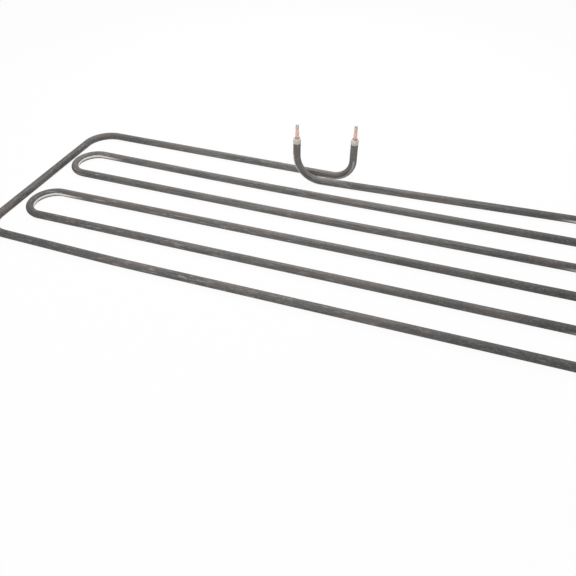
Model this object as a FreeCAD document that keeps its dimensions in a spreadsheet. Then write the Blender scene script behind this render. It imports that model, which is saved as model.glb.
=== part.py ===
import FreeCAD, Part
import math
import os
from collections import namedtuple

import Sketcher

# Tubular heating element: one sheathed tube bent into a flat mat of runs, its two ends
# turned up side by side at the back as terminals.
# Millimetres. +Z up, +X to the right, +Y to the back. The origin is on the floor, under
# the middle of the mat.

# Driving sizes: name, value, what it measures.
SIZES = (
    ("sheath_diameter", 8.0, "outer diameter of the sheath"),
    ("sheath_wall", 0.85, "wall of the sheath"),
    ("mat_length", 590.1, "left leg to the far side of the right bends, on centre lines"),
    ("mat_width", 213.4, "front run to the back left corner, on centre lines"),
    ("back_rise", 6.4, "how far the back left corner stands behind the last of the even pitches"),
    ("corner_radius", 27.0, "two corners of the left leg, on the centre line"),
    ("bend_spread", 0.55, "left return bends wider than half a pitch, and right ones tighter, by this"),
    ("front_bend_reach", 17.2, "left leg to the tip of the front left return bend"),
    ("back_bend_reach", 14.5, "left leg to the tip of the back left return bend"),
    ("back_left_shift", 1.3, "how far the back left return bend stands behind its place in the pitch"),
    ("back_right_draw", 2.2, "how far the back right return bend draws in from its place in the pitch"),
    ("run_bow", 2.6, "how far the two runs at the back left return bend bow to the front"),
    ("run_bow_radius", 5000.0, "long bend in the middle of each bowed run"),
    ("front_draw_in", 3.2, "how far the front run draws in at its left corner"),
    ("front_draw_start", 165.0, "left leg to where the front run starts to draw in"),
    ("front_draw_radius", 1200.0, "long bend that draws the front run in"),
    ("terminal_spacing", 58.7, "between the two risers, along the runs"),
    ("riser_gap", 16.5, "between the two risers, across the runs"),
    ("back_splay", 5.1, "how far the back left run draws in on its way to the right riser"),
    ("left_foot_radius", 28.0, "bend from its run up into the left riser, on the centre line"),
    ("right_foot_radius", 21.8, "bend from its run up into the right riser, on the centre line"),
    ("riser_height", 46.1, "floor to the end faces of the sheath"),
    ("cold_length", 110.0, "unheated length of each end, from the sheath's end face"),
    ("coil_diameter", 3.3, "outside of the wound resistance wire"),
    ("coil_overlap", 10.0, "how far the coil is wound over each cold pin"),
    ("pin_diameter", 2.5, "cold pins"),
    ("pin_clearance", 0.1, "round the pin in its bushing and in the stud's socket"),
    ("spigot_length", 4.0, "how deep a bushing plugs the sheath"),
    ("spigot_clearance", 0.05, "round the spigot in the sheath's bore"),
    ("collar_lip", 0.2, "how far the bushing's collar stands out past the sheath"),
    ("collar_height", 5.8, "height of the collar on the sheath's end face"),
    ("collar_wall", 1.05, "wall of the collar round its mouth"),
    ("collar_chamfer", 0.3, "bevels of the collar's rim, outside and in the mouth"),
    ("mouth_depth", 3.5, "depth of the collar's mouth"),
    ("seal_gap", 1.05, "width of the sealing ring between the collar and the stud"),
    ("seal_drop", 0.9, "rim of the collar down to the face of the seal"),
    ("shoulder_height", 6.2, "rim of the collar up to the stud's thread"),
    ("shoulder_taper", 0.6, "height of the cone that ends the stud's shoulder"),
    ("thread_diameter", 3.9, "threaded stretch of the stud"),
    ("thread_length", 6.9, "length of the threaded stretch"),
    ("point_diameter", 3.2, "plain point above the thread"),
    ("point_length", 2.6, "length of the plain point"),
    ("point_round", 0.9, "rounding of the point"),
    ("socket_depth", 6.0, "how deep the cold pin goes into the stud"),
)

UP = FreeCAD.Vector(0, 0, 1)
ANTICLOCKWISE = 1
CLOCKWISE = -1
TINY = 1e-6
AXIS = "axis"

# The mat has six runs, one pitch apart. These are the return bends that join them, one in
# each gap between two runs, from the front.
RETURN_BENDS = ("front right", "front left", "middle right", "back left", "back right")

# Sizes that several sub-parts share, as expressions on the sheet.
BORE = "(Sizes.sheath_diameter - 2 * Sizes.sheath_wall)"
COLLAR_RADIUS = "(Sizes.sheath_diameter / 2 + Sizes.collar_lip)"
MOUTH_RADIUS = f"({COLLAR_RADIUS} - Sizes.collar_wall)"
MOUTH_FLOOR = "(Sizes.collar_height - Sizes.mouth_depth)"
SHOULDER_RADIUS = f"({MOUTH_RADIUS} - Sizes.seal_gap)"
PIN_HOLE_RADIUS = "(Sizes.pin_diameter / 2 + Sizes.pin_clearance)"

doc = FreeCAD.newDocument("HeatingElement")
sheet = doc.addObject("Spreadsheet::Sheet", "Sizes")
for row, (alias, value, meaning) in enumerate(SIZES, start=1):
    sheet.set(f"A{row}", alias)
    sheet.set(f"B{row}", str(value))
    sheet.set(f"C{row}", meaning)
    sheet.setAlias(f"B{row}", alias)
doc.recompute()


def size(alias):
    """One driving size, read from the sheet."""
    return float(sheet.get(alias))


# The bending plan

# A round former that the tube is bent about; a riser's foot is a former of no radius.
Former = namedtuple("Former", "centre radius turn")


def run_between(first, second):
    """Ends of the straight run that leaves one former and meets the next, tangent to both."""
    line = second.centre - first.centre
    offset = second.turn * second.radius - first.turn * first.radius
    swing = math.degrees(math.asin(offset / line.Length))
    heading = FreeCAD.Rotation(UP, -swing).multVec(line).normalize()
    left = UP.cross(heading)
    start = first.centre - left * (first.turn * first.radius)
    end = second.centre - left * (second.turn * second.radius)
    return start, end


def bend_round(former, arrive, leave):
    """Arc about a former, from the end of one run to the start of the next."""
    spoke_in = arrive - former.centre
    spoke_out = leave - former.centre
    swept = math.atan2(spoke_out.y, spoke_out.x) - math.atan2(spoke_in.y, spoke_in.x)
    half_turn = former.turn * ((former.turn * swept) % (2 * math.pi)) / 2
    middle = former.centre + FreeCAD.Rotation(UP, math.degrees(half_turn)).multVec(spoke_in)
    return Part.Arc(arrive, middle, leave)


def foot_points(foot, heading, radius):
    """Top, middle and side of the arc that turns a riser into the run along the heading."""
    centre = foot + (heading + UP) * radius
    middle = centre - (heading + UP) * (radius / math.sqrt(2))
    return foot + UP * radius, middle, foot + heading * radius


def formers_of_mat(left_foot, right_foot):
    """Formers in the order of the tube, from the foot of the left riser to that of the right."""
    pitch = (size("mat_width") - size("back_rise")) / len(RETURN_BENDS)
    left_radius = pitch / 2 + size("bend_spread")
    right_radius = pitch / 2 - size("bend_spread")
    corner = size("corner_radius")
    draw_radius = size("front_draw_radius")
    left = -size("mat_length") / 2
    right = size("mat_length") / 2
    back = size("mat_width") / 2
    front = -back
    reach = {"front left": size("front_bend_reach"), "back left": size("back_bend_reach")}
    shift = {"back left": size("back_left_shift"), "back right": -size("back_right_draw")}

    def former(x, y, bend, turn):
        return Former(FreeCAD.Vector(x, y, size("sheath_diameter") / 2), bend, turn)

    def bow_between(first, second):
        """The long bend that bows the run between two return bends to the front."""
        bow_radius = size("run_bow_radius")
        run_y = (first.centre.y + second.centre.y) / 2
        return former(0.0, run_y - size("run_bow") + bow_radius, bow_radius, first.turn)

    bends = []
    for gap, name in reversed(list(enumerate(RETURN_BENDS))):
        bend_y = front + (gap + 0.5) * pitch + shift.get(name, 0.0)
        if name in reach:
            bend_x = left + reach[name] + left_radius
            bends.append(former(bend_x, bend_y, left_radius, ANTICLOCKWISE))
        else:
            bends.append(former(right - right_radius, bend_y, right_radius, CLOCKWISE))

    back_right, back_left, middle_right, *front_bends = bends
    formers = [Former(left_foot, 0.0, CLOCKWISE), back_right]
    formers += [bow_between(back_right, back_left), back_left]
    formers += [bow_between(back_left, middle_right), middle_right]
    formers += front_bends
    formers.append(former(left + size("front_draw_start"), front + draw_radius, draw_radius, CLOCKWISE))
    for corner_y in (front + size("front_draw_in") + corner, back - corner):
        formers.append(former(left + corner, corner_y, corner, CLOCKWISE))
    formers.append(Former(right_foot, 0.0, CLOCKWISE))
    return formers


def centre_line(left_foot, right_foot, top):
    """Edges of the tube's centre line, from the top of the left pin to that of the right."""
    formers = formers_of_mat(left_foot, right_foot)
    runs = [run_between(first, second) for first, second in zip(formers, formers[1:])]
    left_heading = (runs[0][1] - runs[0][0]).normalize()
    right_heading = (runs[-1][0] - runs[-1][1]).normalize()
    left_top, left_middle, left_side = foot_points(left_foot, left_heading, size("left_foot_radius"))
    right_points = foot_points(right_foot, right_heading, size("right_foot_radius"))
    right_top, right_middle, right_side = right_points
    runs[0] = (left_side, runs[0][1])
    runs[-1] = (runs[-1][0], right_side)

    curves = [Part.LineSegment(FreeCAD.Vector(left_foot.x, left_foot.y, top), left_top)]
    curves.append(Part.Arc(left_top, left_middle, left_side))
    for former, (arrive_from, arrive), (leave, leave_to) in zip(formers[1:], runs, runs[1:]):
        curves.append(Part.LineSegment(arrive_from, arrive))
        curves.append(bend_round(former, arrive, leave))
    curves.append(Part.LineSegment(*runs[-1]))
    curves.append(Part.Arc(right_side, right_middle, right_top))
    curves.append(Part.LineSegment(right_top, FreeCAD.Vector(right_foot.x, right_foot.y, top)))
    return [curve.toShape() for curve in curves]


def stretch_of(edges, begin, end):
    """The stretch of a line of edges between two distances along it, as one wire."""
    pieces = []
    passed = 0.0
    for edge in edges:
        low = max(begin - passed, 0.0)
        high = min(end - passed, edge.Length)
        if high - low > TINY:
            first = edge.getParameterByLength(low)
            last = edge.getParameterByLength(high)
            pieces.append(edge.Curve.toShape(first, last))
        passed += edge.Length
    return Part.Wire(pieces)


# Ways of making a sub-part

def swept_body(name, route, diameters):
    """A body swept along a route; its section is a circle, or a ring of two circles."""
    path = doc.addObject("Part::Feature", name + "_route")
    path.Shape = route
    body = doc.addObject("PartDesign::Body", name)
    binder = body.newObject("PartDesign::SubShapeBinder", name + "_path")
    binder.Support = [(path, ("",))]
    doc.recompute()
    section = body.newObject("Sketcher::SketchObject", name + "_section")
    section.AttachmentSupport = [(binder, "Edge1")]
    section.MapMode = "NormalToEdge"
    for circle, diameter in enumerate(diameters):
        section.addGeometry(Part.Circle(FreeCAD.Vector(0, 0, 0), UP, 1.0 + circle))
        section.addConstraint(Sketcher.Constraint("Coincident", circle, 3, -1, 1))
        constraint = section.addConstraint(Sketcher.Constraint("Diameter", circle, 2.0 + 2 * circle))
        section.setExpression(f"Constraints[{constraint}]", diameter)
    pipe = body.newObject("PartDesign::AdditivePipe", name + "_pipe")
    pipe.Profile = section
    pipe.Spine = (binder, [f"Edge{number + 1}" for number in range(len(route.Edges))])
    doc.recompute()
    return body


def turned_body(name, corners):
    """A body turned about its own axis from a closed profile of (radius, height) corners."""
    body = doc.addObject("PartDesign::Body", name)
    profile = body.newObject("Sketcher::SketchObject", name + "_profile")
    upright = [plane for plane in body.Origin.OriginFeatures if plane.Role == "XZ_Plane"]
    profile.AttachmentSupport = [(upright[0], "")]
    profile.MapMode = "FlatFace"
    # The corners start spread out in order, and their constraints then put each in its place.
    count = len(corners)
    spread = [FreeCAD.Vector(1 + corner, 1 + corner * corner, 0) for corner in range(count)]
    for line in range(count):
        profile.addGeometry(Part.LineSegment(spread[line], spread[(line + 1) % count]))
    for line, (radius, height) in enumerate(corners):
        profile.addConstraint(Sketcher.Constraint("Coincident", line, 2, (line + 1) % count, 1))
        if radius == AXIS:
            profile.addConstraint(Sketcher.Constraint("PointOnObject", line, 1, -2))
        else:
            across = Sketcher.Constraint("DistanceX", -1, 1, line, 1, spread[line].x)
            profile.setExpression(f"Constraints[{profile.addConstraint(across)}]", radius)
        above = Sketcher.Constraint("DistanceY", -1, 1, line, 1, spread[line].y)
        profile.setExpression(f"Constraints[{profile.addConstraint(above)}]", height)
    turning = body.newObject("PartDesign::Revolution", name + "_turning")
    turning.Profile = profile
    turning.ReferenceAxis = (profile, ["V_Axis"])
    turning.Angle = 360
    doc.recompute()
    return body


# Sub-parts at a terminal, drawn with height 0 on the end face of the sheath

def make_bushing(name):
    """Insulating bushing: a spigot in the sheath's bore under a collar with an open mouth."""
    spigot_radius = f"{BORE} / 2 - Sizes.spigot_clearance"
    bevel_foot = "Sizes.collar_height - Sizes.collar_chamfer"
    return turned_body(name, (
        (PIN_HOLE_RADIUS, "-Sizes.spigot_length"),
        (spigot_radius, "-Sizes.spigot_length"),
        (spigot_radius, "0 mm"),
        (COLLAR_RADIUS, "0 mm"),
        (COLLAR_RADIUS, bevel_foot),
        (f"{COLLAR_RADIUS} - Sizes.collar_chamfer", "Sizes.collar_height"),
        (f"{MOUTH_RADIUS} + Sizes.collar_chamfer", "Sizes.collar_height"),
        (MOUTH_RADIUS, bevel_foot),
        (MOUTH_RADIUS, MOUTH_FLOOR),
        (PIN_HOLE_RADIUS, MOUTH_FLOOR),
    ))


def make_seal(name):
    """Ring of sealing compound that fills the mouth round the stud, up to just under the rim."""
    seal_face = "Sizes.collar_height - Sizes.seal_drop"
    return turned_body(name, (
        (SHOULDER_RADIUS, MOUTH_FLOOR),
        (MOUTH_RADIUS, MOUTH_FLOOR),
        (MOUTH_RADIUS, seal_face),
        (SHOULDER_RADIUS, seal_face),
    ))


def make_stud(name):
    """Terminal stud: a shoulder with a socket for the pin, a thread and a rounded point."""
    socket_top = f"{MOUTH_FLOOR} + Sizes.socket_depth"
    thread_foot = "Sizes.collar_height + Sizes.shoulder_height"
    thread_top = f"{thread_foot} + Sizes.thread_length"
    tip = f"{thread_top} + Sizes.point_length"
    chamfer = "(Sizes.thread_diameter - Sizes.point_diameter) / 2"
    body = turned_body(name, (
        (PIN_HOLE_RADIUS, MOUTH_FLOOR),
        (SHOULDER_RADIUS, MOUTH_FLOOR),
        (SHOULDER_RADIUS, f"{thread_foot} - Sizes.shoulder_taper"),
        ("Sizes.thread_diameter / 2", thread_foot),
        ("Sizes.thread_diameter / 2", f"{thread_top} - {chamfer}"),
        ("Sizes.point_diameter / 2", thread_top),
        ("Sizes.point_diameter / 2", tip),
        (AXIS, tip),
        (AXIS, socket_top),
        (PIN_HOLE_RADIUS, socket_top),
    ))
    turned = body.Tip
    top = turned.Shape.BoundBox.ZMax
    rim = [f"Edge{number}" for number, edge in enumerate(turned.Shape.Edges, start=1)
           if abs(edge.BoundBox.ZMin - top) < TINY]
    rounding = body.newObject("PartDesign::Fillet", name + "_point_rounding")
    rounding.Base = (turned, rim)
    rounding.setExpression("Radius", "Sizes.point_round")
    doc.recompute()
    return body


# Terminals: bushing, seal and stud on the axis of each riser

RIGHT_FOOT_Y = "Sizes.mat_width / 2 - Sizes.back_splay"
TERMINALS = (
    ("left", "-Sizes.terminal_spacing / 2", f"{RIGHT_FOOT_Y} - Sizes.riser_gap"),
    ("right", "Sizes.terminal_spacing / 2", RIGHT_FOOT_Y),
)

parts = {}
feet = {}
for side, foot_x, foot_y in TERMINALS:
    pieces = {
        f"end_bushing_{side}": make_bushing(f"end_bushing_{side}"),
        f"end_seal_{side}": make_seal(f"end_seal_{side}"),
        f"terminal_stud_{side}": make_stud(f"terminal_stud_{side}"),
    }
    for piece in pieces.values():
        piece.setExpression("Placement.Base.x", foot_x)
        piece.setExpression("Placement.Base.y", foot_y)
        piece.setExpression("Placement.Base.z", "Sizes.riser_height")
    doc.recompute()
    parts.update(pieces)
    axis = pieces[f"end_bushing_{side}"].Placement.Base
    feet[side] = FreeCAD.Vector(axis.x, axis.y, size("sheath_diameter") / 2)

# The tube and what runs inside it, all on one centre line

pin_rise = size("collar_height") - size("mouth_depth") + size("socket_depth") - size("pin_clearance")
line = centre_line(feet["left"], feet["right"], size("riser_height") + pin_rise)
line_length = sum(edge.Length for edge in line)


def between_ends(from_end_face):
    """The stretch of the centre line that starts and ends this far inside the sheath's end faces."""
    return stretch_of(line, pin_rise + from_end_face, line_length - pin_rise - from_end_face)


sheath_route = between_ends(0.0)
parts["sheath_tube"] = swept_body("sheath_tube", sheath_route, ("Sizes.sheath_diameter", BORE))

pin_length = pin_rise + size("cold_length")
pin_routes = {
    "left": stretch_of(line, 0.0, pin_length),
    "right": stretch_of(line, line_length - pin_length, line_length),
}
pins = []
for side, route in pin_routes.items():
    pin = swept_body(f"cold_pin_{side}", route, ("Sizes.pin_diameter",))
    parts[f"cold_pin_{side}"] = pin
    pins.append(pin)

# The coil is a sleeve over the pins' inner ends and, between them, the space of its turns.
coil_route = between_ends(size("cold_length") - size("coil_overlap"))
coil_space = swept_body("coil_space", coil_route, ("Sizes.coil_diameter",))
both_pins = doc.addObject("Part::Compound", "both_pins")
both_pins.Links = pins
coil = doc.addObject("Part::Cut", "resistance_coil")
coil.Base = coil_space
coil.Tool = both_pins
parts["resistance_coil"] = coil

# The powder fills the bore from bushing to bushing, round the coil and the pins.
filling_route = between_ends(size("spigot_length"))
filling_blank = swept_body("filling_blank", filling_route, (BORE,))
live_parts = doc.addObject("Part::MultiFuse", "live_parts")
live_parts.Shapes = [coil_space] + pins
filling = doc.addObject("Part::Cut", "magnesia_filling")
filling.Base = filling_blank
filling.Tool = live_parts
parts["magnesia_filling"] = filling
doc.recompute()

# Checks, and one file for each sub-part

for item in doc.Objects:
    if "Invalid" in item.State or "Error" in item.State:
        raise RuntimeError(f"{item.Name} failed: {item.State}")
for name, item in parts.items():
    item.Label = name
    if item.Shape.isNull() or not item.Shape.isValid() or len(item.Shape.Solids) != 1:
        raise RuntimeError(f"{name} is not one valid solid")

ring_area = math.pi * (size("sheath_diameter") - size("sheath_wall")) * size("sheath_wall")
swept_volume = ring_area * sheath_route.Length
print(f"sheath: length {sheath_route.Length:.1f}, volume {parts['sheath_tube'].Shape.Volume:.1f},"
      f" section times length {swept_volume:.1f}")

os.makedirs("parts", exist_ok=True)
for name, item in parts.items():
    item.Shape.exportStep(f"parts/{name}.step")
    print(f"{name}: {item.Shape.Volume:.1f} mm3")
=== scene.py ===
import math
from collections import namedtuple

import bmesh
import bpy
from mathutils import Matrix, Vector


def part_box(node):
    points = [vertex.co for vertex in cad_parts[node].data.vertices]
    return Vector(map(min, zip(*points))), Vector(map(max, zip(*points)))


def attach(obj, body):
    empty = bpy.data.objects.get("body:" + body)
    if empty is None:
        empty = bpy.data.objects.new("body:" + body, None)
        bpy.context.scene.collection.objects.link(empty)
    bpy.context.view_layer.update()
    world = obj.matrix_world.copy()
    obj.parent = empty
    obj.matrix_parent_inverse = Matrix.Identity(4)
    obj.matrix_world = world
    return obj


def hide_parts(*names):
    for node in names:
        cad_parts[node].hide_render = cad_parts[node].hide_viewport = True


# A tubular heating element: one dark sheathed tube bent into a flat mat of runs, with its two
# ends turned up at the back as terminals. Metres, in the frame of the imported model.

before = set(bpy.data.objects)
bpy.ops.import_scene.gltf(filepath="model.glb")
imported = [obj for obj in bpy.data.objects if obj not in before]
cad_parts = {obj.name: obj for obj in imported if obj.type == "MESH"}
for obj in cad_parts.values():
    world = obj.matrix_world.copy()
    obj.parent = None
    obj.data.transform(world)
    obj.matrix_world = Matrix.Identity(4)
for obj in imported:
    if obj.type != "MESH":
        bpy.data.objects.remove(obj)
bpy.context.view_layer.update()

MM = 0.001
HAIR = 0.002 * MM
UP = Vector((0, 0, 1))
ANTICLOCKWISE = 1
CLOCKWISE = -1
FULL_TURN = 2 * math.pi
QUARTER_TURN = math.pi / 2
CREASE = math.radians(40)
SIDES = ("left", "right")

# Sizes of the tube

SHEATH_RADIUS = 4.0 * MM
BORE_RADIUS = 3.15 * MM
MAT_LENGTH = 590.1 * MM
MAT_WIDTH = 213.4 * MM
BACK_RISE = 6.4 * MM
CORNER_RADIUS = 27 * MM
BEND_SPREAD = 0.55 * MM
FRONT_BEND_REACH = 17.2 * MM
BACK_BEND_REACH = 14.5 * MM
BACK_LEFT_SHIFT = 1.3 * MM
BACK_RIGHT_DRAW = 2.2 * MM
RUN_BOW = 2.6 * MM
RUN_BOW_RADIUS = 5000 * MM
FRONT_DRAW_IN = 3.2 * MM
FRONT_DRAW_START = 165 * MM
FRONT_DRAW_RADIUS = 1200 * MM
LEFT_FOOT_RADIUS = 28 * MM
RIGHT_FOOT_RADIUS = 21.8 * MM

# The return bends that join the mat's runs, one in each gap between two runs, from the front.
RETURN_BENDS = ("front right", "front left", "middle right", "back left", "back right")

RING_SIDES = 48
BEND_STEP = math.radians(5)
RUN_STEP = 60 * MM
RUB_AND_GLINT_FADE = 40 * MM

# The side of each foot bend with a painted highlight, outside and to the front: a weaker one
# than the rubbed line and painted highlight of the return bends, which has a length of 1.
LEFT_FOOT_GLINT = Vector((0.0, -0.55, -0.55))
RIGHT_FOOT_GLINT = Vector((0.0, -0.22, -0.52))

# Sizes of the terminals

COLLAR_RADIUS = 4.2 * MM
COLLAR_WALL = 1.05 * MM
MOUTH_DEPTH = 3.5 * MM
RIM_ROUND = 0.3 * MM
FOOT_ROUND = 0.18 * MM
SPIGOT_RADIUS = 3.1 * MM
SEAL_GAP = 1.05 * MM
MENISCUS = 0.12 * MM
MENISCUS_LOW = 1.4 * MENISCUS
PIN_HOLE_RADIUS = 1.35 * MM
SHOULDER_HEIGHT = 6.2 * MM
SHOULDER_TAPER = 0.6 * MM
SHOULDER_ROUND = 0.35 * MM
SOCKET_DEPTH = 6 * MM
THREAD_RADIUS = 1.95 * MM
THREAD_CORE = 1.57 * MM
THREAD_BURIED = 0.1 * MM
THREAD_LENGTH = 6.9 * MM
THREAD_PITCH = 0.7 * MM
THREAD_CREST = 0.06
POINT_RADIUS = 1.6 * MM
POINT_ROUND = 0.9 * MM
TURNING_STEPS = 64
THREAD_STEPS = 24
ROUNDING_STEPS = 4


def middle_of(node):
    """Middle of a node's box, seen from above."""
    low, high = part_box(node)
    return Vector(((low.x + high.x) / 2, (low.y + high.y) / 2, 0.0))


AXES = {side: middle_of(f"end_bushing_{side}") for side in SIDES}
SHEATH_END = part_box("sheath_tube")[1].z
SPIGOT_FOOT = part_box("end_bushing_left")[0].z
COLLAR_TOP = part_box("end_bushing_left")[1].z
SEAL_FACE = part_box("end_seal_left")[1].z
STUD_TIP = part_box("terminal_stud_left")[1].z
MOUTH_RADIUS = COLLAR_RADIUS - COLLAR_WALL
MOUTH_FLOOR = COLLAR_TOP - MOUTH_DEPTH
SHOULDER_RADIUS = MOUTH_RADIUS - SEAL_GAP
SOCKET_TOP = MOUTH_FLOOR + SOCKET_DEPTH
THREAD_FOOT = COLLAR_TOP + SHOULDER_HEIGHT
THREAD_TOP = THREAD_FOOT + THREAD_LENGTH

# The tube's route, as round formers that it is bent about

Former = namedtuple("Former", "centre radius turn")


def formers_of_mat():
    """Formers in the order of the tube, from the foot of the left riser to that of the right."""
    pitch = (MAT_WIDTH - BACK_RISE) / len(RETURN_BENDS)
    left_radius = pitch / 2 + BEND_SPREAD
    right_radius = pitch / 2 - BEND_SPREAD
    left = -MAT_LENGTH / 2
    right = MAT_LENGTH / 2
    back = MAT_WIDTH / 2
    front = -back
    reach = {"front left": FRONT_BEND_REACH, "back left": BACK_BEND_REACH}
    shift = {"back left": BACK_LEFT_SHIFT, "back right": -BACK_RIGHT_DRAW}

    def former(x, y, bend, turn):
        return Former(Vector((x, y, SHEATH_RADIUS)), bend, turn)

    def bow_between(first, second):
        """The long bend that bows the run between two return bends to the front."""
        run_y = (first.centre.y + second.centre.y) / 2
        return former(0.0, run_y - RUN_BOW + RUN_BOW_RADIUS, RUN_BOW_RADIUS, first.turn)

    bends = []
    for gap, name in reversed(list(enumerate(RETURN_BENDS))):
        bend_y = front + (gap + 0.5) * pitch + shift.get(name, 0.0)
        if name in reach:
            bend_x = left + reach[name] + left_radius
            bends.append(former(bend_x, bend_y, left_radius, ANTICLOCKWISE))
        else:
            bends.append(former(right - right_radius, bend_y, right_radius, CLOCKWISE))

    back_right, back_left, middle_right, *front_bends = bends
    formers = [former(AXES["left"].x, AXES["left"].y, 0.0, CLOCKWISE), back_right]
    formers += [bow_between(back_right, back_left), back_left]
    formers += [bow_between(back_left, middle_right), middle_right]
    formers += front_bends
    draw_x = left + FRONT_DRAW_START
    formers.append(former(draw_x, front + FRONT_DRAW_RADIUS, FRONT_DRAW_RADIUS, CLOCKWISE))
    for corner_y in (front + FRONT_DRAW_IN + CORNER_RADIUS, back - CORNER_RADIUS):
        formers.append(former(left + CORNER_RADIUS, corner_y, CORNER_RADIUS, CLOCKWISE))
    formers.append(former(AXES["right"].x, AXES["right"].y, 0.0, CLOCKWISE))
    return formers


def run_between(first, second):
    """Ends of the straight run that leaves one former and meets the next, tangent to both."""
    line = second.centre - first.centre
    offset = second.turn * second.radius - first.turn * first.radius
    heading = Matrix.Rotation(-math.asin(offset / line.length), 3, UP) @ line.normalized()
    left = UP.cross(heading)
    start = first.centre - left * (first.turn * first.radius)
    end = second.centre - left * (second.turn * second.radius)
    return start, end


# Modelling

def new_piece(name, shape, node, finish):
    """An object from a bmesh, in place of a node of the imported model."""
    bmesh.ops.recalc_face_normals(shape, faces=shape.faces)
    for face in shape.faces:
        face.smooth = True
    for edge in shape.edges:
        if len(edge.link_faces) == 2:
            edge.smooth = edge.calc_face_angle() < CREASE
    mesh = bpy.data.meshes.new(name)
    shape.to_mesh(mesh)
    shape.free()
    mesh.materials.append(finish)
    piece = bpy.data.objects.new(name, mesh)
    bpy.context.scene.collection.objects.link(piece)
    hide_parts(node)
    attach(piece, "root")
    return piece


class TubeSkin:
    """A round skin drawn along a route, which keeps at each point its place on the drawn tube.

    A place is the distance along the tube and, as a point on a circle, the way round it. The
    rub and glint is the way round to the side of a bend's bright line, and 0 away from the
    bends: on a return bend a line that a bending tool has rubbed, with a painted highlight on it,
    and on a foot bend a painted highlight alone."""

    def __init__(self, shape, radius, centre):
        self.shape = shape
        self.place = shape.verts.layers.float_vector["place"]
        self.rub_and_glint = shape.verts.layers.float_vector["rub_and_glint"]
        self.along = 0.0
        self.rub_and_glint_way = Vector()
        made = bmesh.ops.create_circle(shape, segments=RING_SIDES, radius=radius,
                                       matrix=Matrix.Translation(centre))
        self.ring = list({edge for vert in made["verts"] for edge in vert.link_edges})
        self.first_ring = list(self.ring)
        for vert in made["verts"]:
            spoke = (vert.co - centre).normalized() * SHEATH_RADIUS
            vert[self.place] = Vector((0.0, spoke.x, spoke.y))

    def grow(self, length, move):
        """One more length: the last ring is extruded, and its points are moved on."""
        made = bmesh.ops.extrude_edge_only(self.shape, edges=self.ring)["geom"]
        verts = [item for item in made if isinstance(item, bmesh.types.BMVert)]
        moved = set(verts)
        self.ring = [item for item in made if isinstance(item, bmesh.types.BMEdge)
                     and moved.issuperset(item.verts)]
        move(verts)
        self.along += length
        for vert in verts:
            vert[self.place].x = self.along
            vert[self.rub_and_glint] = self.rub_and_glint_way

    def run(self, start, end):
        """A straight stretch, at whose ends a bend's rub and painted highlight die out."""
        length = (end - start).length
        heading = (end - start).normalized()
        fade = min(RUB_AND_GLINT_FADE, length / 3)
        steps = max(1, round((length - 2 * fade) / RUN_STEP))
        for step in (fade, *[(length - 2 * fade) / steps] * steps, fade):
            self.grow(step, lambda verts: bmesh.ops.translate(
                self.shape, verts=verts, vec=heading * step))

    def bend(self, centre, axis, angle, radius):
        """A round stretch about an axis."""
        steps = max(2, math.ceil(abs(angle) / BEND_STEP))
        turn = Matrix.Rotation(angle / steps, 3, axis)
        for _ in range(steps):
            self.grow(radius * abs(angle) / steps, lambda verts: bmesh.ops.rotate(
                self.shape, verts=verts, cent=centre, matrix=turn))

    def set_rub_and_glint(self, rub_and_glint_way):
        """Sets the rub and painted highlight of the last ring."""
        for edge in self.ring:
            for vert in edge.verts:
                vert[self.rub_and_glint] = rub_and_glint_way

    def rub_and_glint_bend(self, centre, axis, angle, radius, rub_and_glint_way):
        """A bend with a painted highlight along one side, from its first ring to its last, which
        on a return bend is also a rubbed line.
        """
        self.set_rub_and_glint(rub_and_glint_way)
        self.rub_and_glint_way = rub_and_glint_way
        self.bend(centre, axis, angle, radius)
        self.rub_and_glint_way = Vector()

    def return_bend(self, centre, angle, radius):
        """A flat bend, with a rubbed line and a painted highlight along its inside. A clockwise
        one has neither where it ends.
        """
        self.rub_and_glint_bend(centre, UP, angle, radius, Vector((0.0, 0.0, math.copysign(1.0, angle))))
        if angle < 0:
            self.set_rub_and_glint(Vector())

    def foot_bend(self, centre, heading, radius, rub_and_glint_way):
        """The bend at the foot of a riser, with a painted highlight along its outer front side."""
        self.rub_and_glint_bend(centre, heading.cross(UP), QUARTER_TURN, radius, rub_and_glint_way)


def draw_tube(skin):
    """Draws a skin down the left riser, round the formers of the mat and up the right riser."""
    formers = formers_of_mat()
    runs = [run_between(first, second) for first, second in zip(formers, formers[1:])]
    left_foot = formers[0].centre
    right_foot = formers[-1].centre
    left_heading = (runs[0][1] - runs[0][0]).normalized()
    right_heading = (runs[-1][1] - runs[-1][0]).normalized()
    runs[0] = (left_foot + left_heading * LEFT_FOOT_RADIUS, runs[0][1])
    runs[-1] = (runs[-1][0], right_foot - right_heading * RIGHT_FOOT_RADIUS)
    left_top = Vector((left_foot.x, left_foot.y, SHEATH_END))
    right_top = Vector((right_foot.x, right_foot.y, SHEATH_END))
    left_rise = UP * LEFT_FOOT_RADIUS
    right_rise = UP * RIGHT_FOOT_RADIUS

    skin.run(left_top, left_foot + left_rise)
    skin.foot_bend(runs[0][0] + left_rise, left_heading, LEFT_FOOT_RADIUS, LEFT_FOOT_GLINT)
    for former, (run_start, run_end), (next_start, _) in zip(formers[1:], runs, runs[1:]):
        skin.run(run_start, run_end)
        spoke_in = run_end - former.centre
        spoke_out = next_start - former.centre
        swept = math.atan2(spoke_out.y, spoke_out.x) - math.atan2(spoke_in.y, spoke_in.x)
        swept = former.turn * ((former.turn * swept) % FULL_TURN)
        if former.radius < CORNER_RADIUS:
            skin.return_bend(former.centre, swept, former.radius)
        else:
            skin.bend(former.centre, UP, swept, former.radius)
    skin.run(*runs[-1])
    skin.foot_bend(runs[-1][1] + right_rise, right_heading, RIGHT_FOOT_RADIUS, RIGHT_FOOT_GLINT)
    skin.run(right_foot + right_rise, right_top)


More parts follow.
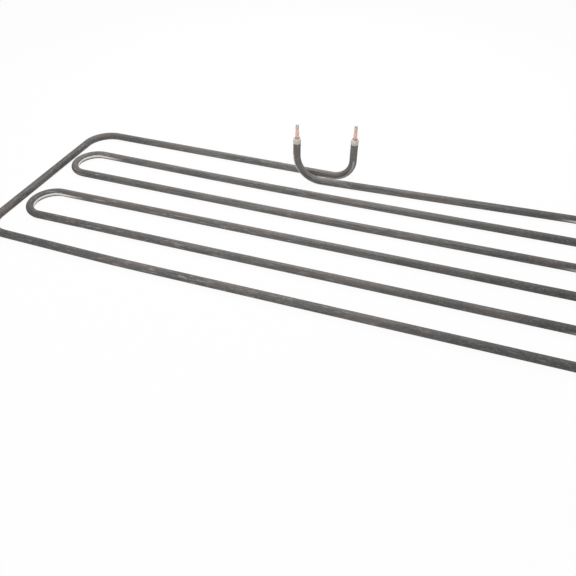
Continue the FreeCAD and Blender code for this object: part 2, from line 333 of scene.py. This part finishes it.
def make_sheath(finish):
    """The sheath: an outer skin and a bore, joined by the end faces."""
    shape = bmesh.new()
    shape.verts.layers.float_vector.new("place")
    shape.verts.layers.float_vector.new("rub_and_glint")
    start = AXES["left"] + UP * SHEATH_END
    outside, bore = [TubeSkin(shape, radius, start) for radius in (SHEATH_RADIUS, BORE_RADIUS)]
    draw_tube(outside)
    draw_tube(bore)
    bmesh.ops.bridge_loops(shape, edges=outside.first_ring + bore.first_ring)
    bmesh.ops.bridge_loops(shape, edges=outside.ring + bore.ring)
    return new_piece("drawn_sheath", shape, "sheath_tube", finish)


def turned(axis, corners, closed=True):
    """A bmesh turned about an upright axis from (radius, height) corners."""
    shape = bmesh.new()
    verts = [shape.verts.new((axis.x + radius, axis.y, height)) for radius, height in corners]
    pairs = list(zip(verts, verts[1:]))
    if closed:
        pairs.append((verts[-1], verts[0]))
    edges = [shape.edges.new(pair) for pair in pairs]
    bmesh.ops.spin(shape, geom=verts + edges, cent=axis, axis=UP, angle=FULL_TURN,
                   steps=TURNING_STEPS, use_merge=True)
    bmesh.ops.remove_doubles(shape, verts=shape.verts, dist=HAIR)
    return shape


def off_axis(vert, axis):
    """How far a point is from an upright axis."""
    return math.hypot(vert.co.x - axis.x, vert.co.y - axis.y)


def round_ring(shape, axis, radius, height, offset):
    """Rounds the ring of edges that a turned shape has at one radius and height."""
    ring = [edge for edge in shape.edges
            if all(abs(off_axis(vert, axis) - radius) < HAIR for vert in edge.verts)
            and all(abs(vert.co.z - height) < HAIR for vert in edge.verts)]
    bmesh.ops.bevel(shape, geom=ring, offset=offset, offset_type="OFFSET", affect="EDGES",
                    segments=ROUNDING_STEPS, profile=0.5, material=-1)


def make_bushing(side, finish):
    """The glazed bushing: a spigot under a collar with rounded rims and an open mouth."""
    axis = AXES[side]
    shape = turned(axis, (
        (PIN_HOLE_RADIUS, SPIGOT_FOOT),
        (SPIGOT_RADIUS, SPIGOT_FOOT),
        (SPIGOT_RADIUS, SHEATH_END),
        (COLLAR_RADIUS, SHEATH_END),
        (COLLAR_RADIUS, COLLAR_TOP),
        (MOUTH_RADIUS, COLLAR_TOP),
        (MOUTH_RADIUS, MOUTH_FLOOR),
        (PIN_HOLE_RADIUS, MOUTH_FLOOR),
    ))
    round_ring(shape, axis, COLLAR_RADIUS, COLLAR_TOP, RIM_ROUND)
    round_ring(shape, axis, MOUTH_RADIUS, COLLAR_TOP, RIM_ROUND)
    round_ring(shape, axis, COLLAR_RADIUS, SHEATH_END, FOOT_ROUND)
    return new_piece(f"glazed_bushing_{side}", shape, f"end_bushing_{side}", finish)


def make_seal(side, finish):
    """The sealing compound, drawn up a little where it wets the collar and the stud."""
    middle = (MOUTH_RADIUS + SHOULDER_RADIUS) / 2
    shape = turned(AXES[side], (
        (SHOULDER_RADIUS, MOUTH_FLOOR),
        (MOUTH_RADIUS, MOUTH_FLOOR),
        (MOUTH_RADIUS, SEAL_FACE),
        ((MOUTH_RADIUS + middle) / 2, SEAL_FACE - MENISCUS),
        (middle, SEAL_FACE - MENISCUS_LOW),
        ((SHOULDER_RADIUS + middle) / 2, SEAL_FACE - MENISCUS),
        (SHOULDER_RADIUS, SEAL_FACE),
    ))
    return new_piece(f"poured_seal_{side}", shape, f"end_seal_{side}", finish)


def cut_thread(shape, axis):
    """Winds the thread's ridge round the stud's core, and lets the chamfer at its top limit it."""
    core = set(shape.verts)
    root = THREAD_CORE - THREAD_BURIED
    foot = THREAD_FOOT - THREAD_PITCH
    crest = THREAD_PITCH * THREAD_CREST
    corners = (
        (root, foot),
        (THREAD_RADIUS, foot + THREAD_PITCH / 2 - crest),
        (THREAD_RADIUS, foot + THREAD_PITCH / 2 + crest),
        (root, foot + THREAD_PITCH),
    )
    verts = [shape.verts.new((axis.x + radius, axis.y, height)) for radius, height in corners]
    start = shape.faces.new(verts)
    steps = round((THREAD_LENGTH + THREAD_PITCH) / THREAD_PITCH * THREAD_STEPS)
    bmesh.ops.spin(shape, geom=[start, *start.edges, *verts], cent=axis, axis=UP,
                   dvec=UP * (THREAD_PITCH / THREAD_STEPS),
                   angle=FULL_TURN * steps / THREAD_STEPS, steps=steps)
    for vert in shape.verts:
        below_top = THREAD_TOP - vert.co.z
        if vert in core or below_top > THREAD_RADIUS - POINT_RADIUS:
            continue
        limit = POINT_RADIUS + below_top if below_top > 0 else root
        wide = off_axis(vert, axis)
        if wide > limit:
            squeeze = limit / wide
            vert.co.x = axis.x + (vert.co.x - axis.x) * squeeze
            vert.co.y = axis.y + (vert.co.y - axis.y) * squeeze


def make_stud(side, finish):
    """The terminal stud: a shoulder with the pin's socket, a cone, a thread and a round point."""
    axis = AXES[side]
    cone_foot = THREAD_FOOT - SHOULDER_TAPER
    shape = turned(axis, (
        (0.0, STUD_TIP),
        (POINT_RADIUS, STUD_TIP),
        (POINT_RADIUS, THREAD_TOP),
        (THREAD_CORE, THREAD_TOP),
        (THREAD_CORE, THREAD_FOOT),
        (THREAD_RADIUS, THREAD_FOOT),
        (SHOULDER_RADIUS, cone_foot),
        (SHOULDER_RADIUS, MOUTH_FLOOR),
        (PIN_HOLE_RADIUS, MOUTH_FLOOR),
        (PIN_HOLE_RADIUS, SOCKET_TOP),
        (0.0, SOCKET_TOP),
    ), closed=False)
    round_ring(shape, axis, POINT_RADIUS, STUD_TIP, POINT_ROUND)
    round_ring(shape, axis, SHOULDER_RADIUS, cone_foot, SHOULDER_ROUND)
    cut_thread(shape, axis)
    return new_piece(f"screwed_stud_{side}", shape, f"terminal_stud_{side}", finish)


# Finishes

class Finish:
    """A material of one Principled shader, with short ways to add nodes to it."""

    def __init__(self, name, metallic=0.0, specular=0.5, coat=0.0):
        self.material = bpy.data.materials.new(name)
        self.material.use_nodes = True
        self.tree = self.material.node_tree
        self.shader = self.tree.nodes["Principled BSDF"]
        self.shader.inputs["Metallic"].default_value = metallic
        self.shader.inputs["Specular IOR Level"].default_value = specular
        self.shader.inputs["Coat Weight"].default_value = coat

    def node(self, kind, inputs=(), **settings):
        """A new node, with its own settings, and its inputs set or joined by name."""
        made = self.tree.nodes.new(kind)
        for key, value in settings.items():
            setattr(made, key, value)
        for name, value in dict(inputs).items():
            self.put(made.inputs[name], value)
        return made

    def put(self, socket, value):
        """Joins an output to a socket, or gives the socket a value of its own."""
        if isinstance(value, bpy.types.NodeSocket):
            self.tree.links.new(value, socket)
        else:
            socket.default_value = value

    def object_place(self):
        """Place on the object, in metres."""
        return self.node("ShaderNodeTexCoord").outputs["Object"]

    def tube_layer(self, name):
        """What the drawn tube keeps at each point: its place, in metres, or its rub and painted
        highlight.
        """
        return self.node("ShaderNodeAttribute", attribute_name=name).outputs["Vector"]

    def noise(self, place, scale, detail=3.0, roughness=0.6):
        """Noise with its own scale along each axis of the place, per metre."""
        mapping = self.node("ShaderNodeMapping", {"Vector": place, "Scale": scale})
        noise = self.node("ShaderNodeTexNoise", {
            "Vector": mapping.outputs["Vector"],
            "Scale": 1.0,
            "Detail": detail,
            "Roughness": roughness,
        })
        return noise.outputs["Fac"]

    def span(self, value, low, high, to_low=0.0, to_high=1.0):
        """A value between two limits, spread over another span."""
        node = self.node("ShaderNodeMapRange", {
            "Value": value,
            "From Min": low,
            "From Max": high,
            "To Min": to_low,
            "To Max": to_high,
        }, interpolation_type="SMOOTHSTEP")
        return node.outputs["Result"]

    def maths(self, operation, first, second):
        """A sum of two values."""
        node = self.node("ShaderNodeMath", operation=operation)
        self.put(node.inputs[0], first)
        self.put(node.inputs[1], second)
        return node.outputs[0]

    def vectors(self, operation, *vectors):
        """A sum on one or two vectors."""
        node = self.node("ShaderNodeVectorMath", operation=operation)
        for socket, vector in zip(node.inputs, vectors):
            self.put(socket, vector)
        return node

    def mix(self, share, first, second):
        """Two colours mixed, by the share of the second."""
        node = self.node("ShaderNodeMix", data_type="RGBA")
        sockets = {socket.name: socket for socket in node.inputs if socket.type == "RGBA"}
        self.put(node.inputs["Factor"], share)
        for name, colour in (("A", first), ("B", second)):
            if not isinstance(colour, bpy.types.NodeSocket):
                colour = (*colour, 1.0)
            self.put(sockets[name], colour)
        return [socket for socket in node.outputs if socket.type == "RGBA"][0]

    def dress(self, colour, roughness, height=None, depth=0.0):
        """Gives the shader its colour, its roughness, and a bump of a depth in metres."""
        self.put(self.shader.inputs["Base Color"], colour)
        self.put(self.shader.inputs["Roughness"], roughness)
        if height is not None:
            bump = self.node("ShaderNodeBump", {
                "Height": height,
                "Distance": depth,
                "Strength": 1.0,
            })
            self.put(self.shader.inputs["Normal"], bump.outputs["Normal"])
        return self.material


# The place near the feet of the risers round which the sheath is painted palest: painted light
# there, and painted shade that darkens the oxide away from it.
PAINTED_LIGHT_CENTRE = (-0.03, 0.10, 0.0)

# Colours, dark and light where there are two
OXIDE = ((0.094, 0.091, 0.088), (0.198, 0.190, 0.181))
# Painted shade, away from the palest place.
PAINTED_SHADE_OXIDE = (0.069, 0.068, 0.067)
# Painted light on the risers.
PAINTED_LIGHT_OXIDE = (0.235, 0.223, 0.217)
BROWN_TINT = (0.164, 0.141, 0.130)
WORN_GREY = (0.225, 0.220, 0.210)
SCRATCH_GREY = (0.44, 0.42, 0.40)
NICK_GREY = (0.45, 0.44, 0.42)
# The bends' bright line: rubbed steel with a painted highlight.
RUBBED_STEEL_AND_GLINT = (0.86, 0.85, 0.83)
LOWER_GLAZE = (0.71, 0.67, 0.62)
# Painted light towards the collar's rim.
PAINTED_LIGHT_GLAZE = (0.92, 0.85, 0.80)
GLAZE_CLOUD = (0.60, 0.58, 0.54)
GLAZE_PIT = (0.40, 0.37, 0.34)
COMPOUND = ((0.24, 0.10, 0.085), (0.38, 0.18, 0.155))
BRIGHT_COPPER = (0.95, 0.73, 0.66)
DULL_COPPER = (0.86, 0.57, 0.51)
# Painted shade at the stud's foot.
PAINTED_SHADE_COPPER = (0.62, 0.27, 0.24)
TIN_GREY = (0.63, 0.585, 0.56)


def dark_oxide():
    """The sheath's dark annealed skin: long draw lines, brown tints, pale nicks and scratches.

    The oxide is painted darker towards the ends and the front of the mat, as painted shade away
    from its palest place, and the risers are painted paler, as painted light. Towards the right
    the sheath is less scratched. The bends have a bright line along one side: on the return
    bends a rubbed line with a painted highlight, on the foot bends a painted highlight."""
    finish = Finish("dark_oxide", specular=0.25)
    place = finish.tube_layer("place")
    rub_and_glint = finish.tube_layer("rub_and_glint")
    lines = finish.noise(place, (18, 800, 800), detail=5.0, roughness=0.7)
    fine_lines = finish.noise(place, (70, 3200, 3200), detail=2.0)
    patches = finish.noise(place, (9, 40, 40), detail=3.0)
    mottle = finish.noise(place, (300, 700, 700), detail=4.0)
    scratches = finish.noise(place, (75, 750, 750), detail=3.0, roughness=0.6)
    handling = finish.noise(place, (6, 60, 60), detail=2.0)
    nicks = finish.noise(place, (650, 900, 900), detail=1.0)
    # The bright line along the bends: on the return bends a rubbed line with a painted highlight,
    # on the foot bends a painted highlight.
    rub_and_glint_direction = finish.vectors("NORMALIZE", rub_and_glint).outputs["Vector"]
    nearness = finish.vectors("DOT_PRODUCT", place, rub_and_glint_direction).outputs["Value"]
    band = finish.span(nearness, 0.94 * SHEATH_RADIUS, 0.975 * SHEATH_RADIUS)

    object_place = finish.object_place()
    along_runs, _, height = finish.node("ShaderNodeSeparateXYZ", {"Vector": object_place}).outputs
    # Painted light: the risers and the upper foot bends are painted paler than the mat.
    risen = finish.span(height, 2 * SHEATH_RADIUS, 5 * SHEATH_RADIUS, 0.0, 0.8)
    # Painted shade: the oxide darkens away from the palest place, towards the ends and the front.
    from_painted_light = finish.vectors("DISTANCE", object_place, PAINTED_LIGHT_CENTRE).outputs["Value"]
    painted_shade = finish.span(from_painted_light, 0.10, 0.34, 0.0, 0.95)

    oxide = finish.mix(finish.span(lines, 0.40, 0.60), *OXIDE)
    darker = finish.mix(painted_shade, oxide, PAINTED_SHADE_OXIDE)
    skin = finish.mix(risen, darker, PAINTED_LIGHT_OXIDE)
    tint = finish.mix(finish.span(patches, 0.48, 0.62, 0.0, 0.6), skin, BROWN_TINT)
    worn = finish.mix(finish.span(mottle, 0.45, 0.70, 0.0, 0.45), tint, WORN_GREY)
    spared = finish.span(along_runs, 0.02, 0.16, 1.0, 0.25)
    handled = finish.maths("MULTIPLY", finish.span(handling, 0.42, 0.60, 0.2, 1.0), spared)
    scratch = finish.maths("MULTIPLY", finish.span(scratches, 0.575, 0.655, 0.0, 0.75), handled)
    scratched = finish.mix(scratch, worn, SCRATCH_GREY)
    nicked = finish.mix(finish.span(nicks, 0.74, 0.8, 0.0, 0.8), scratched, NICK_GREY)
    # Mixes in the bright line, rubbed steel and painted highlight.
    reach = finish.span(finish.vectors("LENGTH", rub_and_glint).outputs["Value"], 0.2, 1.0)
    rub_and_glint_share = finish.maths("MULTIPLY", band, reach)
    colour = finish.mix(rub_and_glint_share, nicked, RUBBED_STEEL_AND_GLINT)

    roughness = finish.span(lines, 0.3, 0.7, 0.5, 0.62)
    relief = finish.maths("ADD", fine_lines, finish.maths("MULTIPLY", mottle, 0.6))
    return finish.dress(colour, roughness, relief, 0.03 * MM)


def glazed_ceramic():
    """Pale glaze, painted paler towards the rim as painted light, a little darker in patches, with
    fine dark pits.
    """
    finish = Finish("glazed_ceramic", coat=0.35)
    place = finish.object_place()
    clouds = finish.noise(place, (300, 300, 300))
    pits = finish.noise(place, (2600, 2600, 2600), detail=2.0)
    height = finish.node("ShaderNodeSeparateXYZ", {"Vector": place}).outputs["Z"]
    uneven = finish.maths("ADD", height, finish.maths("MULTIPLY", clouds, 3 * MM))
    # Painted light: the glaze is paler towards the collar's top.
    painted_light_share = finish.span(uneven, SHEATH_END + 2 * MM, COLLAR_TOP + 1 * MM)
    glaze = finish.mix(painted_light_share, LOWER_GLAZE, PAINTED_LIGHT_GLAZE)
    body = finish.mix(finish.span(clouds, 0.45, 0.75, 0.0, 0.5), glaze, GLAZE_CLOUD)
    colour = finish.mix(finish.span(pits, 0.70, 0.80, 0.0, 0.4), body, GLAZE_PIT)
    return finish.dress(colour, finish.span(clouds, 0.3, 0.7, 0.28, 0.42), pits, 0.02 * MM)


def sealing_compound():
    """Red brown compound, lumpy and dull."""
    finish = Finish("sealing_compound")
    place = finish.object_place()
    lumps = finish.noise(place, (1400, 1400, 1400), detail=4.0)
    colour = finish.mix(finish.span(lumps, 0.35, 0.65), *COMPOUND)
    return finish.dress(colour, finish.span(lumps, 0.3, 0.7, 0.5, 0.75), lumps, 0.08 * MM)


def coppered_stud():
    """Bright pink copper plating, dulled in clouds, with painted shade at its foot by the collar,
    that gives way to a tinned point.
    """
    finish = Finish("coppered_stud", metallic=0.6)
    place = finish.object_place()
    clouds = finish.noise(place, (500, 500, 350))
    rings = finish.noise(place, (250, 250, 5200), detail=2.0)
    height = finish.node("ShaderNodeSeparateXYZ", {"Vector": place}).outputs["Z"]
    uneven = finish.maths("ADD", height, finish.maths("MULTIPLY", clouds, 1.6 * MM))
    plated = finish.mix(finish.span(clouds, 0.35, 0.7), BRIGHT_COPPER, DULL_COPPER)
    # Painted shade: the copper is darker at its foot, next to the collar.
    low = finish.span(height, COLLAR_TOP - 1 * MM, COLLAR_TOP + 3 * MM, 0.75, 0.0)
    shaded_foot = finish.mix(low, plated, PAINTED_SHADE_COPPER)
    tinned_from = THREAD_TOP - 1.2 * MM
    tin = finish.span(uneven, tinned_from, tinned_from + 1.6 * MM)
    colour = finish.mix(tin, shaded_foot, TIN_GREY)
    return finish.dress(colour, finish.span(rings, 0.3, 0.7, 0.4, 0.55), rings, 0.01 * MM)


def plain_grain(name, dark, light, roughness, grain, metallic=0.0):
    """A finish for a hidden piece: two close colours in a fine grain."""
    finish = Finish(name, metallic=metallic)
    specks = finish.noise(finish.object_place(), (grain, grain, grain), detail=3.0)
    colour = finish.mix(finish.span(specks, 0.35, 0.65), dark, light)
    rough = finish.span(specks, 0.3, 0.7, roughness - 0.08, roughness + 0.08)
    return finish.dress(colour, rough, specks, 0.02 * MM)


# Dressing the element

make_sheath(dark_oxide())
terminal_finishes = (
    (make_bushing, glazed_ceramic()),
    (make_seal, sealing_compound()),
    (make_stud, coppered_stud()),
)
for side in SIDES:
    for make, finish in terminal_finishes:
        make(side, finish)

pin_steel = plain_grain("drawn_pin_steel", (0.42, 0.41, 0.40), (0.55, 0.54, 0.52), 0.35, 2500, 1.0)
HIDDEN = {
    "magnesia_filling": plain_grain("pressed_magnesia", (0.70, 0.69, 0.66), (0.82, 0.81, 0.78),
                                    0.85, 3000),
    "resistance_coil": plain_grain("resistance_wire", (0.28, 0.27, 0.26), (0.40, 0.38, 0.36),
                                   0.45, 2200, 1.0),
    "cold_pin_left": pin_steel,
    "cold_pin_right": pin_steel,
}
for node, finish in HIDDEN.items():
    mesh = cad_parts[node].data
    mesh.materials.clear()
    mesh.materials.append(finish)

# Studio

CAMERA_PLACE = Vector((126.40, -422.44, 325.88)) * MM
CAMERA_TURN = math.radians(18.04)
CAMERA_DOWN = math.radians(42.70)
CAMERA_ROLL = math.radians(0.209)
FOCAL_LENGTH = 34.09
SENSOR_WIDTH = 36.0
FLOOR_SIZE = 8.0
WHITE = (1.0, 1.0, 1.0, 1.0)
FLOOR_SHARE = 0.95
FLOOR_COLOUR = 0.86
AMBIENT = 0.20
LAMPS = (
    ("overhead", Vector((0.0, 0.0, 1.5)), 0.7, 6.8),
    ("back", Vector((-0.10, 0.45, 0.65)), 0.5, 4.4),
    ("front", Vector((-0.25, -1.15, 0.6)), 0.8, 5.2),
)


def place_camera():
    """The camera, at the place and angle that the photograph was taken from."""
    data = bpy.data.cameras.new("camera")
    data.lens = FOCAL_LENGTH
    data.sensor_width = SENSOR_WIDTH
    camera = bpy.data.objects.new("camera", data)
    turn = Matrix.Rotation(CAMERA_TURN, 4, "Z")
    tilt = Matrix.Rotation(QUARTER_TURN - CAMERA_DOWN, 4, "X")
    roll = Matrix.Rotation(CAMERA_ROLL, 4, "Z")
    camera.matrix_world = Matrix.Translation(CAMERA_PLACE) @ turn @ tilt @ roll
    bpy.context.scene.collection.objects.link(camera)
    bpy.context.scene.camera = camera


def hang_lamp(name, place, width, power):
    """A square soft box that faces the middle of the mat."""
    data = bpy.data.lights.new(name, "AREA")
    data.shape = "SQUARE"
    data.size = width
    data.energy = power
    lamp = bpy.data.objects.new(name, data)
    facing = place.to_track_quat("Z", "Y").to_matrix().to_4x4()
    lamp.matrix_world = Matrix.Translation(place) @ facing
    bpy.context.scene.collection.objects.link(lamp)


def seen_share(tree):
    """1 for a ray that shows or mirrors the background, and 0 for a ray that lights the object."""
    rays = tree.nodes.new("ShaderNodeLightPath")
    total = rays.outputs["Is Camera Ray"]
    for kind in ("Is Glossy Ray", "Is Transmission Ray"):
        either = tree.nodes.new("ShaderNodeMath")
        either.operation = "MAXIMUM"
        tree.links.new(total, either.inputs[0])
        tree.links.new(rays.outputs[kind], either.inputs[1])
        total = either.outputs[0]
    return total


def lay_floor():
    """A wide white floor that keeps a faint shadow."""
    shape = bmesh.new()
    bmesh.ops.create_grid(shape, x_segments=1, y_segments=1, size=FLOOR_SIZE / 2)
    mesh = bpy.data.meshes.new("floor")
    shape.to_mesh(mesh)
    shape.free()
    floor = bpy.data.objects.new("floor", mesh)
    bpy.context.scene.collection.objects.link(floor)

    material = bpy.data.materials.new("white_floor")
    material.use_nodes = True
    tree = material.node_tree
    tree.nodes.clear()
    paint = tree.nodes.new("ShaderNodeBsdfDiffuse")
    paint.inputs["Color"].default_value = (FLOOR_COLOUR, FLOOR_COLOUR, FLOOR_COLOUR, 1.0)
    glow = tree.nodes.new("ShaderNodeEmission")
    glow.inputs["Color"].default_value = WHITE
    share = tree.nodes.new("ShaderNodeMath")
    share.operation = "MULTIPLY"
    share.inputs[1].default_value = FLOOR_SHARE
    tree.links.new(seen_share(tree), share.inputs[0])
    mix = tree.nodes.new("ShaderNodeMixShader")
    tree.links.new(share.outputs[0], mix.inputs["Fac"])
    tree.links.new(paint.outputs["BSDF"], mix.inputs[1])
    tree.links.new(glow.outputs["Emission"], mix.inputs[2])
    output = tree.nodes.new("ShaderNodeOutputMaterial")
    tree.links.new(mix.outputs["Shader"], output.inputs["Surface"])
    mesh.materials.append(material)


def light_world():
    """Even white light all round, and a white backdrop where it is seen."""
    world = bpy.data.worlds.new("studio")
    bpy.context.scene.world = world
    world.use_nodes = True
    tree = world.node_tree
    background = tree.nodes["Background"]
    background.inputs["Color"].default_value = WHITE
    strength = tree.nodes.new("ShaderNodeMapRange")
    strength.inputs["To Min"].default_value = AMBIENT
    strength.inputs["To Max"].default_value = 1.0
    tree.links.new(seen_share(tree), strength.inputs["Value"])
    tree.links.new(strength.outputs["Result"], background.inputs["Strength"])


place_camera()
lay_floor()
light_world()
for lamp in LAMPS:
    hang_lamp(*lamp)
bpy.context.scene.view_settings.view_transform = "Standard"
